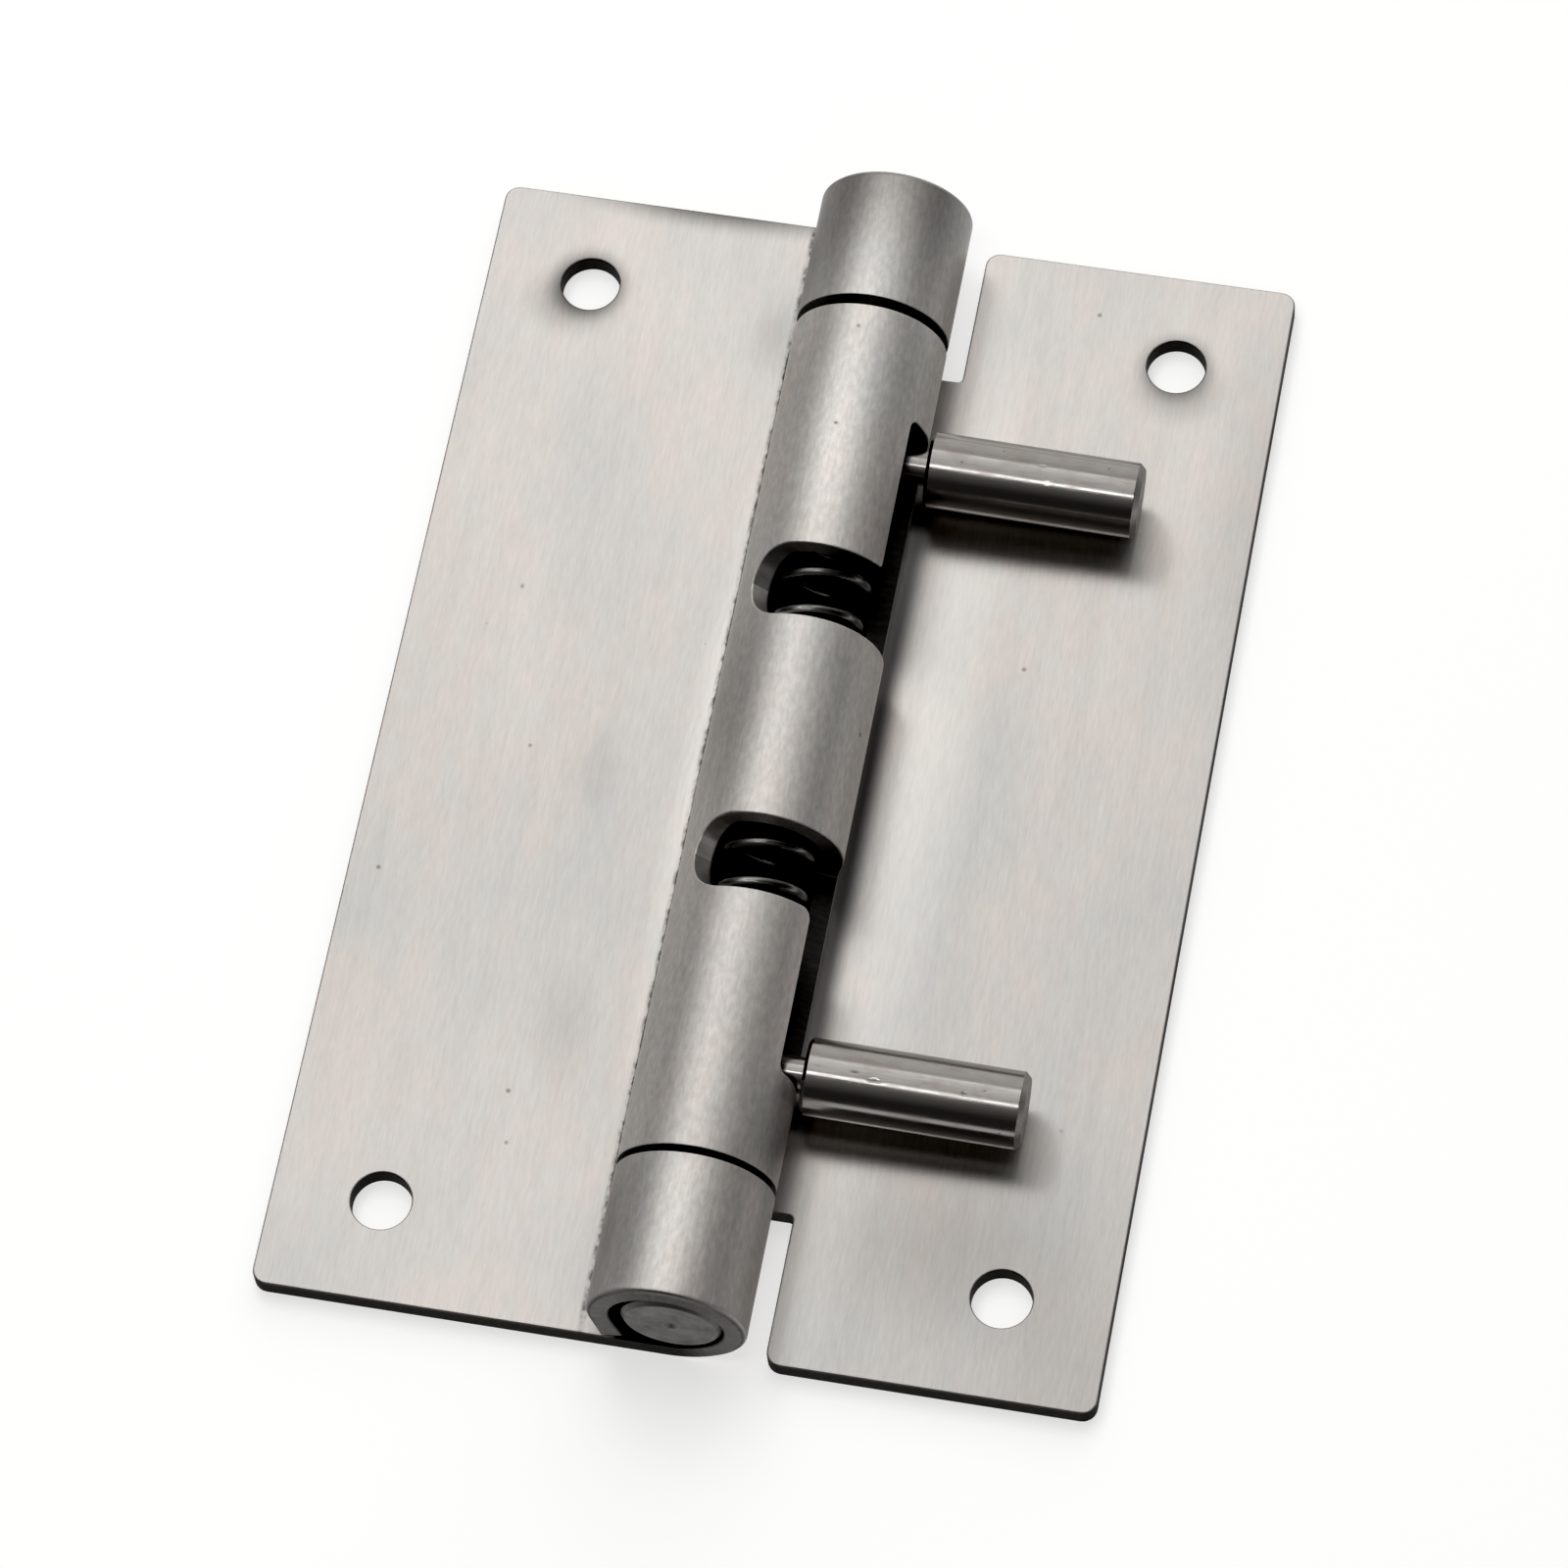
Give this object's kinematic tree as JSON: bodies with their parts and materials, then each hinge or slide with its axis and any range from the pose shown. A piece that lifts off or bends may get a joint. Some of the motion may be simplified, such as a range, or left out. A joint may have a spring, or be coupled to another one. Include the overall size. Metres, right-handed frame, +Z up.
{
  "type": "take-apart cabinet hinge",
  "caption": "Open butt hinge of rolled steel sheet that comes apart: two spring-loaded pins with side handles run in L-shaped slots of its centre knuckle.",
  "frame": {"origin": "on the plane of the leaves' back faces, straight under the pin axis at mid length", "axes": "+X towards the release leaf, +Y along the barrel towards the upper pin, +Z up from the back faces"},
  "size_m": [0.0666, 0.1001, 0.0126],
  "materials": {
    "brushed_sheet": "fine brushed grain along the barrel",
    "turned_pin": "turned, matt",
    "polished_handle": "turned and polished, with small nicks",
    "spring_wire": "drawn wire"
  },
  "bodies": {
    "fixed_leaf": {"fixed_leaf": "brushed_sheet"},
    "release_leaf": {"release_leaf": "brushed_sheet", "spring": "spring_wire"},
    "upper_pin": {"upper_pin": "turned_pin", "upper_handle": "polished_handle"},
    "lower_pin": {"lower_pin": "turned_pin", "lower_handle": "polished_handle"}
  },
  "joints": [
    {"name": "leaf_hinge", "type": "hinge", "parent": "fixed_leaf", "child": "release_leaf", "pos_m": [0, 0, 0.0063], "axis": [0, -1, 0], "range_deg": [-90, 180]},
    {"name": "upper_pin_slide", "type": "slide", "parent": "release_leaf", "child": "upper_pin", "axis": [0, -1, 0], "range_m": [-0.00065, 0.0147], "stiffness_N_per_m": 1700, "deforming": ["spring"]},
    {"name": "lower_pin_slide", "type": "slide", "parent": "release_leaf", "child": "lower_pin", "axis": [0, 1, 0], "range_m": [0, 0.0153], "stiffness_N_per_m": 1700, "deforming": ["spring"]}
  ]
}
